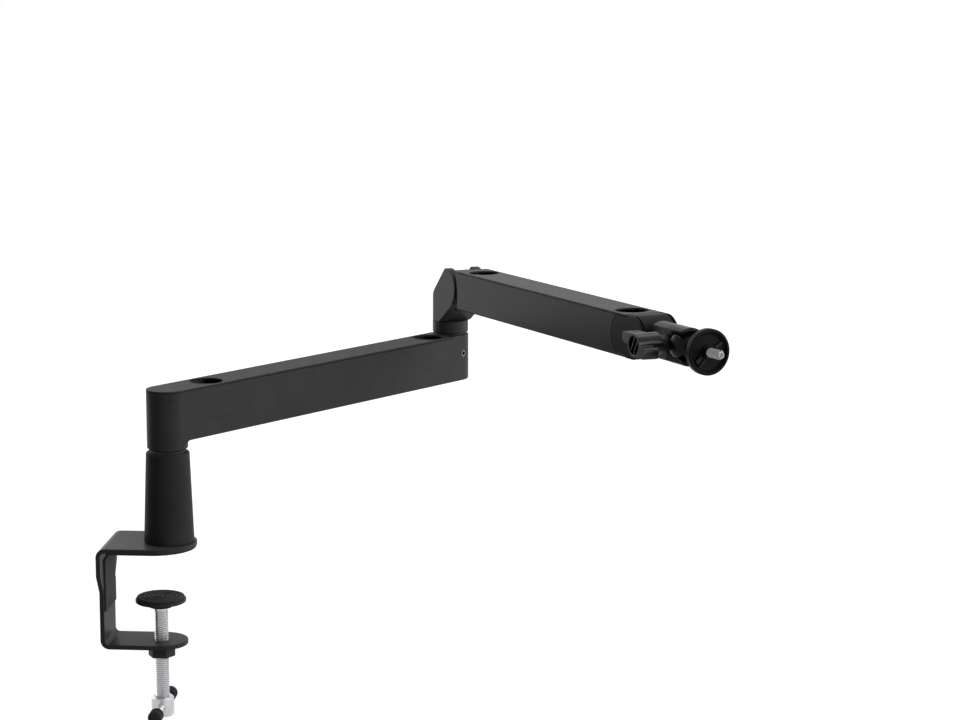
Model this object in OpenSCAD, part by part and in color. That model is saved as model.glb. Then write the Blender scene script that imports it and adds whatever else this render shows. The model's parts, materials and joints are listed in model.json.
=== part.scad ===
// Low profile desk microphone arm, in millimetres.
// A desk clamp carries a tapered riser. A long cable channel arm swivels on the riser.
// A turret swivels on its far end and tilts a second cable channel arm, which ends in a
// lockable ball head with a threaded stud.
// Frame: origin under the clamp's top pad on the riser axis, +X into the desk, +Y to the far side, +Z up.
// Both arms lie level, turned to either side of +X, in the pose that the joints count from.

/* [Desk clamp] */

// Width of the clamp's top plate
plate_w = 57; // [50:1:60]
// Thickness of the clamp's steel
plate_t = 3.2; // [2.6:0.2:4]
// Thickness of the rubber under the top plate
pad_t = 1.2; // [1:0.1:1.6]
// From the riser axis back to the inside of the clamp's spine
throat = 44; // [40:0.2:48]
// Tallest gap the clamp opens to
jaw_open = 58; // [50:1:66]
// Gap between the two pads in this pose
jaw_gap = 36; // [26:1:46]
// Width of the clamp's lower tongue
tongue_w = 38; // [34:1:44]
// Diameter of the clamp screw
screw_d = 10; // [8:1:12]
// Diameter of the swivelling pressure plate
press_d = 36; // [30:1:38]
// Length of the tommy bar
bar_len = 64; // [56:1:76]

/* [Riser] */

// Diameter of the riser at its foot
riser_d0 = 35.6; // [33:0.1:37]
// Diameter of the riser at its top
riser_d1 = 30.8; // [29:0.1:31.5]
// Height of the riser
riser_h = 65; // [50:1:120]
// Diameter of the pivot shaft
pivot_d = 16; // [14:1:17]

/* [Lower arm] */

// Distance between the lower arm's two upright axes
lower_len = 319.3; // [260:0.1:380]
// Width of both arms
arm_w = 29; // [28:0.1:31]
// Height of the lower arm
lower_h = 36.8; // [35:0.1:44]
// Thickness of the arms' side walls
wall_t = 2.4; // [2:0.1:3]
// Thickness of the lift-off covers
cover_t = 1.2; // [1:0.1:2]
// Diameter of the cable holes
hole_d = 24; // [18:0.2:24.4]
// Turn of the lower arm about the riser
lower_yaw = 55.75;

/* [Elbow] */

// Diameter of the elbow collar
collar_d = 28.6; // [26:0.1:28.6]
// Height of the elbow collar
collar_h = 9.8; // [8:0.1:14]
// Height of the tilt axis over the collar
hinge_rise = 29.5; // [29:0.1:32]
// Reach of the tilt axis in front of the elbow axis
hinge_off = 21.5; // [21:0.1:23]
// Radius of the turret's ears
ear_r = 15.2; // [14.8:0.1:15.6]
// Thickness of each ear
ear_t = 5.5; // [5:0.1:6]

/* [Upper arm] */

// From the elbow axis to the centre of the upper arm's round nose
upper_len = 315.5; // [280:0.1:380]
// Height of the upper arm
upper_h = 30.3; // [29.5:0.1:31]
// Turn of the upper arm from +X
upper_yaw = -59.73;
// Upward tilt of the upper arm
upper_tilt = 0.46;

/* [Ball head] */

// Radius of the head's barrel
barrel_r = 13; // [12.6:0.1:13.8]
// Radius of the ball
ball_r = 10.5; // [9.8:0.1:10.6]
// Length of the locking knob
knob_len = 18.5; // [16:0.5:26]
// Reach of each of the knob's wings
wing_reach = 15.5; // [12:0.1:15.8]
// Diameter of the round microphone plate
mic_plate_d = 31.4; // [28:0.2:36]
// Diameter of the threaded stud
stud_d = 6.35;
// Length of the stud in front of the plate
stud_len = 14.4; // [10:0.2:16]

/* [Hidden] */

// Round faces are true circles; this only sets how finely they are drawn
$fn = 96;
// Running clearance on radius between a shaft and its bore
run = 0.05;
// Free gap between parts that move past each other
gap = 0.3;
// Small edge break
ease = 0.8;
// Smaller edge break along the covers
lid_ease = 0.3;

// Clamp heights and positions
plate_top = pad_t + plate_t;
bend_r = plate_t * 2;
spine_x = -throat - plate_t;
end_r = plate_w / 2;
end_x = -9;
tongue_top = -jaw_open - 10;
tongue_x = -7;
press_t = 2.6;
press_pad_t = 1.8;
press_boss = 3.6;
nut_h = 9;
nut_af = 17;
shoulder_z = -jaw_gap - press_pad_t - press_t - press_boss - gap;
hub_top = tongue_top - plate_t - nut_h - jaw_gap + 6;
hub_h = 14;
hub_r = 8;
bar_d = 6;
hub_mid = hub_top - hub_h / 2;

// Riser and base pivot
riser_top = plate_top + riser_h;
washer_t = 1.2;
foot_z = riser_top + washer_t + 0.1;
foot_h = 6.9;
foot_ease = 1.8;
floor_t = 2.6;

// Lower arm
lower_z = foot_z + foot_h;
lower_top = lower_z + lower_h;
rim_z = lower_top - cover_t - gap;
in_w = arm_w - 2 * wall_t;
base_floor = lower_z + 14;
bush_r = pivot_d / 2 + 1.6;
pivot_thread = 5;
socket_h = riser_h * 0.46;
hole1_x = 39.5;
block_x = lower_len - arm_w / 2;
hole2_x = block_x - gap - hole_d / 2 - 1.8;
set_z = lower_z + 21.6;
set_d = 6;
set_in = 0.7;
keeper_t = 0.8;
keeper_r = 2.6;
magnet_h = 2.2;
magnet_y = in_w / 2 - keeper_r - 0.9;

// Elbow
collar_z = lower_top + 1.2;
turret_z = collar_z + collar_h;
hinge_z = turret_z + hinge_rise;
shaft_r = 6;
groove = 1.4;
set_len = arm_w / 2 - set_in - (shaft_r - groove) - gap - 2.3;
ear_y = arm_w / 2 - 0.3;
slot_y = ear_y - ear_t;
hub_y = slot_y - 0.8;
tongue_r = 13.2;
neck_h = 10.5;
plug_x = 20;
plug_end = 42;
pin_r = 4;
elbow_x = lower_len * cos(lower_yaw);
elbow_y = lower_len * sin(lower_yaw);

// Upper arm, counted along the arm from the tilt axis
half_h = upper_h / 2;
beam_top = half_h - cover_t - gap;
floor_z = -half_h + wall_t;
nose_x = upper_len - hinge_off;
cap_x = nose_x - 13.5;
cap_r = 15.6;
cap_t = 1.6;
cap_y = arm_w / 2 - cap_t;
band_y = cap_y - 1;
cap_h = beam_top - gap;
cap_low = -floor_z - 0.2;
lid_end = nose_x - 9.3;
hole3_x = 38.5;
hole4_x = nose_x - 25.7;
mouth_r = 42.3;
mouth_x = -21.8;
mouth_z = -4;

// Head, counted along the arm from the tilt axis
barrel_x = nose_x + half_h + 0.5;
cup_x = barrel_x + 18;
ball_x = cup_x + 11.4;
cup_end = cup_x + 20.6;
knob_x = barrel_x + 16.8;
neck_r = 7;
flat_y = 7.2;
boss_y = 13.1;
wing_len = 10.5;
knob_y = boss_y + 0.5;
shoe_r = 3.2;
plate_x = ball_x + 26.4;
plate_h = 6.2;
plate_r = mic_plate_d / 2;
shank_r = 2.5;

module at_lower() {
    rotate([0, 0, lower_yaw])
        children();
}

module at_elbow() {
    translate([elbow_x, elbow_y, 0])
        rotate([0, 0, upper_yaw])
            children();
}

module at_upper() {
    at_elbow()
        translate([hinge_off, 0, hinge_z])
            rotate([0, -upper_tilt, 0])
                children();
}

// Solid of revolution about +Z from z0 to z1 with small edge breaks
module disc(r, z0, z1, c0 = 0, c1 = 0) {
    low = c0 > 0 ? [[r - c0, z0], [r, z0 + c0]] : [[r, z0]];
    high = c1 > 0 ? [[r, z1 - c1], [r - c1, z1]] : [[r, z1]];
    rotate_extrude()
        polygon(concat([[0, z0]], low, high, [[0, z1]]));
}

// Straight bar along +X of width w, from z0 to z1, with small edge breaks
module bar(x0, x1, w, z0, z1, c0 = 0, c1 = 0) {
    h = w / 2;
    low = c0 > 0 ? [[-h, z0 + c0], [-h + c0, z0], [h - c0, z0], [h, z0 + c0]] : [[-h, z0], [h, z0]];
    high = c1 > 0 ? [[h, z1 - c1], [h - c1, z1], [-h + c1, z1], [-h, z1 - c1]] : [[h, z1], [-h, z1]];
    translate([x0, 0, 0])
        rotate([90, 0, 90])
            linear_extrude(x1 - x0)
                polygon(concat(low, high));
}

// Round bar lying across the arm, between y0 and y1
module cross(r, y0, y1) {
    translate([0, y1, 0])
        rotate([90, 0, 0])
            cylinder(r = r, h = y1 - y0);
}

// Round bar lying along the arm, between x0 and x1
module along(r, x0, x1) {
    translate([x0, 0, 0])
        rotate([0, 90, 0])
            cylinder(r = r, h = x1 - x0);
}

// Hexagonal prism about +Z, af across its flats
module hexagon(af, z0, z1) {
    r = af / sqrt(3);
    translate([0, 0, z0])
        linear_extrude(z1 - z0)
            polygon([for (i = [0:5]) [r * cos(60 * i), r * sin(60 * i)]]);
}

module box(a, b) {
    translate(a)
        cube(b - a);
}

// Where the three riser screws pass the top plate
module riser_ring() {
    for (i = [0:2])
        rotate([0, 0, 60 + 120 * i])
            translate([13.4, 0, 0])
                children();
}

// Bent steel C: top plate with a round end, spine, and lower tongue with a round end
module clamp_bracket() {
    color([0.13, 0.13, 0.135])
        difference() {
            union() {
                box([-throat + plate_t, -end_r, pad_t], [end_x, end_r, plate_top]);
                translate([end_x, 0, 0])
                    disc(end_r, pad_t, plate_top);
                // Upper bend
                translate([-throat + plate_t, end_r, plate_top - bend_r])
                    rotate([90, 0, 0])
                        difference() {
                            cylinder(r = bend_r, h = plate_w);
                            translate([0, 0, -1])
                                cylinder(r = bend_r - plate_t, h = plate_w + 2);
                            translate([0, -bend_r - 1, -1])
                                cube([bend_r + 1, 2 * bend_r + 2, plate_w + 2]);
                            translate([-bend_r - 1, -bend_r - 1, -1])
                                cube([2 * bend_r + 2, bend_r + 1, plate_w + 2]);
                        }
                // Spine, narrowing towards the tongue
                translate([spine_x, 0, 0])
                    rotate([90, 0, 90])
                        linear_extrude(plate_t)
                            polygon([[-end_r, plate_top - bend_r], [-end_r, -16], [-tongue_w / 2, -30],
                                     [-tongue_w / 2, tongue_top - plate_t + bend_r],
                                     [tongue_w / 2, tongue_top - plate_t + bend_r],
                                     [tongue_w / 2, -30], [end_r, -16], [end_r, plate_top - bend_r]]);
                // Lower bend
                translate([-throat + plate_t, tongue_w / 2, tongue_top - plate_t + bend_r])
                    rotate([90, 0, 0])
                        difference() {
                            cylinder(r = bend_r, h = tongue_w);
                            translate([0, 0, -1])
                                cylinder(r = bend_r - plate_t, h = tongue_w + 2);
                            translate([0, -bend_r - 1, -1])
                                cube([bend_r + 1, 2 * bend_r + 2, tongue_w + 2]);
                            translate([-bend_r - 1, 0, -1])
                                cube([2 * bend_r + 2, bend_r + 1, tongue_w + 2]);
                        }
                // Lower tongue
                box([-throat + plate_t, -tongue_w / 2, tongue_top - plate_t],
                    [tongue_x, tongue_w / 2, tongue_top]);
                translate([tongue_x, 0, 0])
                    disc(tongue_w / 2, tongue_top - plate_t, tongue_top);
            }
            // Countersunk holes for the riser screws
            riser_ring()
                union() {
                    translate([0, 0, pad_t - 1])
                        cylinder(r = 2.1, h = plate_t + 2);
                    translate([0, 0, pad_t])
                        cylinder(r1 = 4.2, r2 = 2.1, h = 2.1);
                }
            // Clearance hole for the clamp screw
            translate([tongue_x, 0, tongue_top - plate_t - 1])
                cylinder(r = screw_d / 2 + 0.5, h = plate_t + 2);
        }
}

// Hexagonal nut welded under the tongue
module clamp_nut() {
    color([0.15, 0.15, 0.155])
        translate([tongue_x, 0, 0])
            difference() {
                hexagon(nut_af, tongue_top - plate_t - nut_h, tongue_top - plate_t);
                translate([0, 0, tongue_top - plate_t - nut_h - 1])
                    cylinder(r = screw_d / 2 + run, h = nut_h + 2);
            }
}

// Thin rubber under the top plate
module top_pad() {
    inset = 0.6;
    color([0.06, 0.06, 0.062])
        union() {
            box([-throat + plate_t + inset, -end_r + inset, 0], [end_x, end_r - inset, pad_t]);
            translate([end_x, 0, 0])
                disc(end_r - inset, 0, pad_t);
        }
}

// Thin rubber on the inside of the spine
module edge_pad() {
    color([0.06, 0.06, 0.062])
        difference() {
            box([-throat, -tongue_w / 2 + 2, -44], [-throat + pad_t, tongue_w / 2 - 2, -6]);
            for (s = [-1, 1])
                translate([-throat - 1, s * (tongue_w / 2 - 2), -25])
                    rotate([0, 90, 0])
                        cylinder(r = 1.6, h = pad_t + 2);
        }
}

// Countersunk screws that hold the riser down
module riser_screws() {
    color([0.55, 0.55, 0.56])
        riser_ring()
            difference() {
                union() {
                    translate([0, 0, pad_t + 2])
                        cylinder(r = 2, h = 10);
                    translate([0, 0, pad_t])
                        cylinder(r1 = 4, r2 = 2, h = 2);
                }
                hexagon(2.5, pad_t - 1, pad_t + 1.4);
            }
}

// Tapered column, hollow from below, bored on top for the pivot shaft
module riser_column() {
    r0 = riser_d0 / 2;
    r1 = riser_d1 / 2;
    color([0.14, 0.14, 0.142])
        difference() {
            rotate_extrude()
                polygon([[0, plate_top], [r0 - 0.5, plate_top], [r0, plate_top + 0.5],
                         [r1, riser_top - ease], [r1 - ease, riser_top], [0, riser_top]]);
            translate([0, 0, plate_top - 1])
                cylinder(r = 10, h = riser_h * 0.4);
            translate([0, 0, riser_top - socket_h])
                cylinder(r = pivot_d / 2, h = socket_h + 1);
            riser_ring()
                translate([0, 0, plate_top - 1])
                    cylinder(r = 2, h = 12);
        }
}

// Low friction ring between the riser and the arm, set back to leave a dark gap
module base_washer() {
    color([0.05, 0.05, 0.05])
        difference() {
            disc(riser_d1 / 2 - 3, riser_top, riser_top + washer_t);
            translate([0, 0, riser_top - 1])
                cylinder(r = pivot_d / 2, h = washer_t + 2);
        }
}

// Steel shaft pressed into the riser, with a smaller threaded end on top
module pivot_shaft() {
    color([0.62, 0.62, 0.63])
        union() {
            disc(pivot_d / 2, riser_top - socket_h + 0.5, base_floor + 2, 1, 0.4);
            disc(pivot_thread, base_floor + 1, base_floor + 13, 0, 1);
        }
}

// Locking nut with a wide washer face over the base bush
module pivot_nut() {
    color([0.6, 0.6, 0.61])
        difference() {
            union() {
                disc(10, base_floor + 2, base_floor + 3.4);
                hexagon(16, base_floor + 3.4, base_floor + 10.6);
                disc(6.6, base_floor + 10.6, base_floor + 11.8, 0, 0.8);
            }
            translate([0, 0, base_floor])
                cylinder(r = pivot_thread, h = 14);
        }
}

// Round steel plate with a socket below for the screw's tip
module pressure_plate() {
    z1 = -jaw_gap - press_pad_t;
    color([0.13, 0.13, 0.135])
        translate([tongue_x, 0, 0])
            difference() {
                union() {
                    disc(press_d / 2, z1 - press_t, z1, 0.6, 0);
                    disc(9, z1 - press_t - press_boss, z1 - press_t, 0.8, 0);
                }
                translate([0, 0, z1 - press_t - press_boss - 1])
                    cylinder(r = 3 + run, h = press_boss + 2);
            }
}

// Rubber on the pressure plate
module pressure_pad() {
    color([0.06, 0.06, 0.062])
        translate([tongue_x, 0, 0])
            disc(press_d / 2 - 1, -jaw_gap - press_pad_t, -jaw_gap, 0, 0.5);
}

// Threaded rod with a turned tip and a cross drilled hub
module clamp_screw() {
    color([0.5, 0.5, 0.51])
        translate([tongue_x, 0, 0])
            difference() {
                union() {
                    disc(3, shoulder_z - 0.5, shoulder_z + press_boss, 0, 0.5);
                    disc(screw_d / 2, hub_top - 1, shoulder_z, 0, 1);
                    disc(hub_r, hub_top - hub_h, hub_top, 1, 1);
                }
                translate([0, hub_r + 1, hub_mid])
                    rotate([90, 0, 0])
                        cylinder(r = bar_d / 2 + run, h = 2 * hub_r + 2);
            }
}

// Sliding tommy bar
module handle_bar() {
    color([0.55, 0.55, 0.56])
        translate([tongue_x, bar_len / 2 - 3, hub_mid])
            rotate([90, 0, 0])
                cylinder(r = bar_d / 2, h = bar_len - 6);
}

// Rubber caps on the tommy bar's ends
module handle_caps() {
    color([0.07, 0.07, 0.072])
        translate([tongue_x, 0, hub_mid])
            for (s = [-1, 1])
                rotate([s * 90, 0, 0])
                    difference() {
                        disc(bar_d / 2 + 2, bar_len / 2 - 10, bar_len / 2, 0.6, 1.4);
                        translate([0, 0, bar_len / 2 - 11])
                            cylinder(r = bar_d / 2, h = 8);
                    }
}

// Cable channel with a round foot at one end and the elbow block at the other
module lower_beam() {
    r = arm_w / 2;
    color([0.14, 0.14, 0.142])
        at_lower()
            difference() {
                union() {
                    disc(r, foot_z, rim_z, foot_ease, 0);
                    translate([lower_len, 0, 0])
                        disc(r, lower_z, lower_top, ease, lid_ease);
                    bar(0, lower_len, arm_w, lower_z, rim_z, ease, 0);
                    bar(block_x, lower_len, arm_w, rim_z - 1, lower_top, 0, lid_ease);
                    // Curved root where the foot meets the arm's underside
                    intersection() {
                        translate([0, 0, lower_z - 2.5])
                            difference() {
                                cylinder(r = r + 2.5, h = 2.5 + ease);
                                rotate_extrude()
                                    translate([r + 2.5, 0])
                                        circle(r = 2.5);
                            }
                        box([0, -r + ease, lower_z - 3], [30, r - ease, lower_z + ease]);
                    }
                }
                // Cable channel, ending at the solid elbow block
                difference() {
                    union() {
                        translate([0, 0, base_floor])
                            cylinder(r = in_w / 2, h = lower_h);
                        box([0, -in_w / 2, base_floor], [lower_len, in_w / 2, lower_top + 1]);
                        box([16, -in_w / 2, lower_z + floor_t], [lower_len, in_w / 2, lower_top + 1]);
                    }
                    box([block_x, -r, 0], [lower_len + r, r, lower_top + 2]);
                    for (x = [lower_len * 0.28, lower_len * 0.72])
                        magnet_post(x, lower_z, rim_z - 0.9);
                }
                for (x = [lower_len * 0.28, lower_len * 0.72])
                    translate([x, magnet_y, rim_z - 0.9 - magnet_h])
                        cylinder(r = keeper_r, h = magnet_h + 1);
                // Bore for the base bush
                translate([0, 0, foot_z - 1])
                    cylinder(r = bush_r, h = base_floor - foot_z + 2);
                // Blind bore for the elbow shaft and the set screw that reaches its groove
                translate([lower_len, 0, lower_z + 8])
                    cylinder(r = shaft_r + run, h = lower_h);
                translate([lower_len, 0, set_z])
                    cross(set_d / 2, -r - 1, 0);
            }
}

// Square post beside the far wall that holds a magnet
module magnet_post(x, z0, z1) {
    box([x - keeper_r - 1, magnet_y - keeper_r - 0.9, z0], [x + keeper_r + 1, in_w / 2 + 0.1, z1]);
}

// Flanged polymer sleeve in the arm's foot
module base_bush() {
    color([0.75, 0.73, 0.68])
        difference() {
            disc(bush_r, foot_z + 0.1, base_floor + 1.6, 0.5, 0.3);
            translate([0, 0, foot_z - 1])
                cylinder(r = pivot_d / 2 + run, h = base_floor - foot_z + 5);
        }
}

// Low friction ring under the elbow collar
module elbow_washer() {
    color([0.05, 0.05, 0.05])
        at_lower()
            translate([lower_len, 0, 0])
                difference() {
                    disc(collar_d / 2 - 2.9, lower_top, collar_z - 0.1);
                    translate([0, 0, lower_top - 1])
                        cylinder(r = shaft_r + 0.4, h = 4);
                }
}

// Hexagon socket set screw that sets the elbow's friction
module elbow_set_screw() {
    color([0.3, 0.3, 0.31])
        at_lower()
            translate([lower_len, -arm_w / 2 + set_in, set_z])
                rotate([-90, 0, 0])
                    difference() {
                        union() {
                            disc(set_d / 2, 0, set_len, 0.3, 0.6);
                            disc(2, set_len - 0.6, set_len + 2.3, 0, 0.4);
                        }
                        hexagon(3, -1, 3.2);
                    }
}

module lower_magnets() {
    color([0.7, 0.7, 0.7])
        at_lower()
            for (x = [lower_len * 0.28, lower_len * 0.72])
                translate([x, magnet_y, rim_z - 0.9 - magnet_h])
                    cylinder(r = keeper_r, h = magnet_h);
}

// Lift-off cover with a round end, two cable holes and guide ribs, ending square at the elbow block
module lower_cover() {
    r = arm_w / 2;
    z0 = lower_top - cover_t;
    color([0.16, 0.16, 0.162])
        at_lower()
            difference() {
                union() {
                    disc(r, z0, lower_top, 0, lid_ease);
                    bar(0, block_x - gap, arm_w, z0, lower_top, 0, lid_ease);
                    for (s = [-1, 1])
                        box([hole1_x + hole_d / 2 + 11.5, s * (in_w / 2 - 0.9) - 0.6, z0 - 2.6],
                            [lower_len * 0.28 - 6, s * (in_w / 2 - 0.9) + 0.6, z0 + 0.5]);
                    for (s = [-1, 1])
                        box([lower_len * 0.28 + 6, s * (in_w / 2 - 0.9) - 0.6, z0 - 2.6],
                            [lower_len * 0.72 - 6, s * (in_w / 2 - 0.9) + 0.6, z0 + 0.5]);
                }
                for (x = [hole1_x, hole2_x])
                    translate([x, 0, z0 - 1])
                        cylinder(r = hole_d / 2, h = cover_t + 2);
            }
}

module lower_keepers() {
    color([0.6, 0.6, 0.6])
        at_lower()
            for (x = [lower_len * 0.28, lower_len * 0.72])
                translate([x, magnet_y, lower_top - cover_t - keeper_t])
                    cylinder(r = keeper_r - 0.2, h = keeper_t);
}

module elbow_collar() {
    color([0.15, 0.15, 0.152])
        at_elbow()
            difference() {
                disc(collar_d / 2, collar_z, turret_z, ease, 0.3);
                translate([0, 0, collar_z - 1])
                    cylinder(r = shaft_r, h = collar_h + 2);
            }
}

// Post with two round ears: bevelled behind, undercut in front
module elbow_fork() {
    bevel = 26.2;
    // Far enough below the tilt axis for the tongue's neck to swing 45 degrees down
    swing = (neck_h + 0.5) * sqrt(2);
    color([0.15, 0.15, 0.152])
        at_elbow()
            difference() {
                intersection() {
                    translate([0, 20, turret_z])
                        rotate([90, 0, 0])
                            difference() {
                                union() {
                                    translate([hinge_off, hinge_rise, 0])
                                        cylinder(r = ear_r, h = 40);
                                    linear_extrude(40)
                                        polygon([[-16, 0], [7.8, 0], [30.6, 15.5], [32.6, 18.4],
                                                 [hinge_off, hinge_rise], [hinge_off, hinge_rise + 10],
                                                 [-16, hinge_rise + 10]]);
                                }
                                translate([-20, bevel - 20, -1])
                                    rotate([0, 0, 45])
                                        cube([70, 30, 42]);
                            }
                    union() {
                        translate([0, 0, turret_z - 1])
                            cylinder(r = ear_y, h = 60);
                        box([0, -ear_y, turret_z - 1], [50, ear_y, turret_z + 60]);
                    }
                }
                // Slot for the tongue, open in front, above and behind the bevel
                translate([hinge_off, 0, hinge_z])
                    cross(tongue_r + 0.6, -slot_y, slot_y);
                translate([hinge_off, slot_y, hinge_z])
                    rotate([90, 0, 0])
                        linear_extrude(2 * slot_y)
                            polygon([[-12, 0], [13.5 - swing, -13.5], [21.5 - swing, -21.5],
                                     [40, -21.5], [40, 30], [-12, 30]]);
                // Bore for the tilt pin, blind in the near ear and counterbored in the far one
                translate([hinge_off, 0, hinge_z])
                    cross(pin_r, -slot_y - 3, ear_y + 1);
                translate([hinge_off, 0, hinge_z])
                    cross(7, ear_y - 3.2, ear_y + 1);
                // Bore for the elbow shaft
                translate([0, 0, turret_z - 1])
                    cylinder(r = shaft_r, h = 8);
            }
}

// Steel shaft with a groove for the set screw
module elbow_shaft() {
    z0 = lower_z + 8.6;
    color([0.62, 0.62, 0.63])
        at_elbow()
            rotate_extrude()
                polygon([[0, z0], [shaft_r - 0.8, z0], [shaft_r, z0 + 0.8], [shaft_r, set_z - 2.8],
                         [shaft_r - groove, set_z - 2.4], [shaft_r - groove, set_z + 2.4],
                         [shaft_r, set_z + 2.8], [shaft_r, turret_z + 6.4],
                         [shaft_r - 0.6, turret_z + 7], [0, turret_z + 7]]);
}

// Socket head pin through both ears
module hinge_pin() {
    color([0.4, 0.4, 0.41])
        at_elbow()
            translate([hinge_off, 0, hinge_z])
                rotate([-90, 0, 0])
                    difference() {
                        union() {
                            disc(pin_r, -slot_y - 2.8, ear_y - 3, 0.4, 0);
                            disc(6.8, ear_y - 3.2, ear_y - 0.4, 0, 0.5);
                        }
                        hexagon(5, ear_y - 2.6, ear_y + 1);
                    }
}

// The space around the turret that the upper arm's open end is shaped to
module elbow_mouth() {
    translate([mouth_x, 0, mouth_z])
        cross(mouth_r, -arm_w, arm_w);
}

module upper_beam() {
    color([0.14, 0.14, 0.142])
        at_upper()
            difference() {
                bar(10, lid_end, arm_w, -half_h, beam_top, ease, 0);
                elbow_mouth();
                difference() {
                    box([0, -in_w / 2, floor_z], [nose_x + 20, in_w / 2, half_h + 1]);
                    for (x = [nose_x * 0.3, nose_x * 0.72])
                        magnet_post(x, floor_z - 1, beam_top - 0.9);
                }
                for (x = [nose_x * 0.3, nose_x * 0.72])
                    translate([x, magnet_y, beam_top - 0.9 - magnet_h])
                        cylinder(r = keeper_r, h = magnet_h + 1);
                // Side walls end around the tip's side caps
                intersection() {
                    union() {
                        translate([cap_x, 0, 0])
                            cross(cap_r + gap, -arm_w, arm_w);
                        box([cap_x, -arm_w, -20], [nose_x + 20, arm_w, 20]);
                    }
                    box([0, -arm_w, floor_z], [nose_x + 20, arm_w, 20]);
                }
                // Holes for the screws that hold the tongue
                for (x = [plug_x + 7, plug_end - 6])
                    translate([x, 0, -half_h - 1]) {
                        cylinder(r = 2, h = 6);
                        cylinder(r = 4, h = 2.2);
                    }
            }
}

// Steel tongue: a hub between the ears, a neck, and a low plug screwed to the channel's floor
module hinge_tongue() {
    color([0.17, 0.17, 0.172])
        at_upper()
            difference() {
                union() {
                    cross(tongue_r, -hub_y, hub_y);
                    box([0, -hub_y, -neck_h], [plug_x + 0.5, hub_y, neck_h]);
                    // Step on the neck, just below the cover, that closes the view past the hub
                    box([plug_x - 3.2, -hub_y, 0], [plug_x + 2, hub_y, beam_top - 0.45]);
                    box([plug_x, -hub_y, floor_z], [plug_end, hub_y, -3]);
                    difference() {
                        box([plug_x - 2, -in_w / 2, floor_z], [plug_end, in_w / 2, -3]);
                        elbow_mouth();
                    }
                }
                cross(pin_r + run, -hub_y - 1, hub_y + 1);
                for (x = [plug_x + 7, plug_end - 6])
                    translate([x, 0, floor_z - 1])
                        cylinder(r = 2, h = 8);
            }
}

module tongue_screws() {
    color([0.5, 0.5, 0.51])
        at_upper()
            for (x = [plug_x + 7, plug_end - 6])
                translate([x, 0, 0])
                    difference() {
                        union() {
                            disc(2, -half_h + 1, floor_z + 6.4, 0, 0.4);
                            disc(3.7, -half_h + 0.1, -half_h + 1.2);
                        }
                        hexagon(2.5, -half_h - 1, -half_h + 0.9);
                    }
}

// Thin rings between the hub and the ears
module tilt_washers() {
    color([0.05, 0.05, 0.05])
        at_upper()
            difference() {
                union() {
                    cross(tongue_r - 2.2, -hub_y - 0.7, -hub_y);
                    cross(tongue_r - 2.2, hub_y, hub_y + 0.7);
                }
                cross(pin_r + run, -hub_y - 2, hub_y + 2);
            }
}

// Nose casting: plugs the channel's end and carries the ball head
module tip_block() {
    plug_from = hole4_x + hole_d / 2 + 1.5;
    color([0.14, 0.14, 0.142])
        at_upper()
            difference() {
                union() {
                    box([plug_from, -in_w / 2, floor_z], [lid_end + 1, in_w / 2, beam_top]);
                    box([lid_end + gap, -band_y, -half_h], [nose_x, band_y, half_h]);
                    translate([nose_x, 0, 0])
                        cross(half_h, -band_y, band_y);
                    // Pad behind the side caps, clear of the cable hole
                    translate([nose_x, 0, 0])
                        cross(12, -cap_y, cap_y);
                    box([plug_from, -cap_y, -12], [nose_x, cap_y, 12]);
                }
                along(neck_r, nose_x, nose_x + 20);
            }
}

// Flat side caps, one on each side of the nose
module tip_caps() {
    color([0.15, 0.15, 0.152])
        at_upper()
            for (s = [-1, 1])
                union() {
                    intersection() {
                        translate([cap_x, 0, 0])
                            side_plate(cap_r, s);
                        box([cap_x - 20, -arm_w, -cap_low], [cap_x, arm_w, cap_h]);
                    }
                    box([cap_x, s > 0 ? cap_y : -arm_w / 2, -cap_low],
                        [lid_end + 2, s > 0 ? arm_w / 2 : -cap_y, cap_h]);
                    box([lid_end + gap, s > 0 ? cap_y : -arm_w / 2, -half_h],
                        [nose_x, s > 0 ? arm_w / 2 : -cap_y, half_h]);
                    translate([nose_x, 0, 0])
                        side_plate(half_h, s);
                }
}

module side_plate(r, s) {
    cross(r, s > 0 ? cap_y : -arm_w / 2, s > 0 ? arm_w / 2 : -cap_y);
}

module upper_magnets() {
    color([0.7, 0.7, 0.7])
        at_upper()
            for (x = [nose_x * 0.3, nose_x * 0.72])
                translate([x, magnet_y, beam_top - 0.9 - magnet_h])
                    cylinder(r = keeper_r, h = magnet_h);
}

// Lift-off cover with two cable holes and guide ribs
module upper_cover() {
    z0 = half_h - cover_t;
    color([0.16, 0.16, 0.162])
        at_upper()
            difference() {
                union() {
                    bar(10, lid_end, arm_w, z0, half_h, 0, lid_ease);
                    for (s = [-1, 1])
                        box([hole3_x + hole_d / 2 + 7.5, s * (in_w / 2 - 0.9) - 0.6, z0 - 2.6],
                            [nose_x * 0.3 - 6, s * (in_w / 2 - 0.9) + 0.6, z0 + 0.5]);
                    for (s = [-1, 1])
                        box([nose_x * 0.3 + 6, s * (in_w / 2 - 0.9) - 0.6, z0 - 2.6],
                            [nose_x * 0.72 - 6, s * (in_w / 2 - 0.9) + 0.6, z0 + 0.5]);
                }
                elbow_mouth();
                for (x = [hole3_x, hole4_x])
                    translate([x, 0, z0 - 1])
                        cylinder(r = hole_d / 2, h = cover_t + 2);
            }
}

module upper_keepers() {
    color([0.6, 0.6, 0.6])
        at_upper()
            for (x = [nose_x * 0.3, nose_x * 0.72])
                translate([x, magnet_y, half_h - cover_t - keeper_t])
                    cylinder(r = keeper_r - 0.2, h = keeper_t);
}

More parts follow.
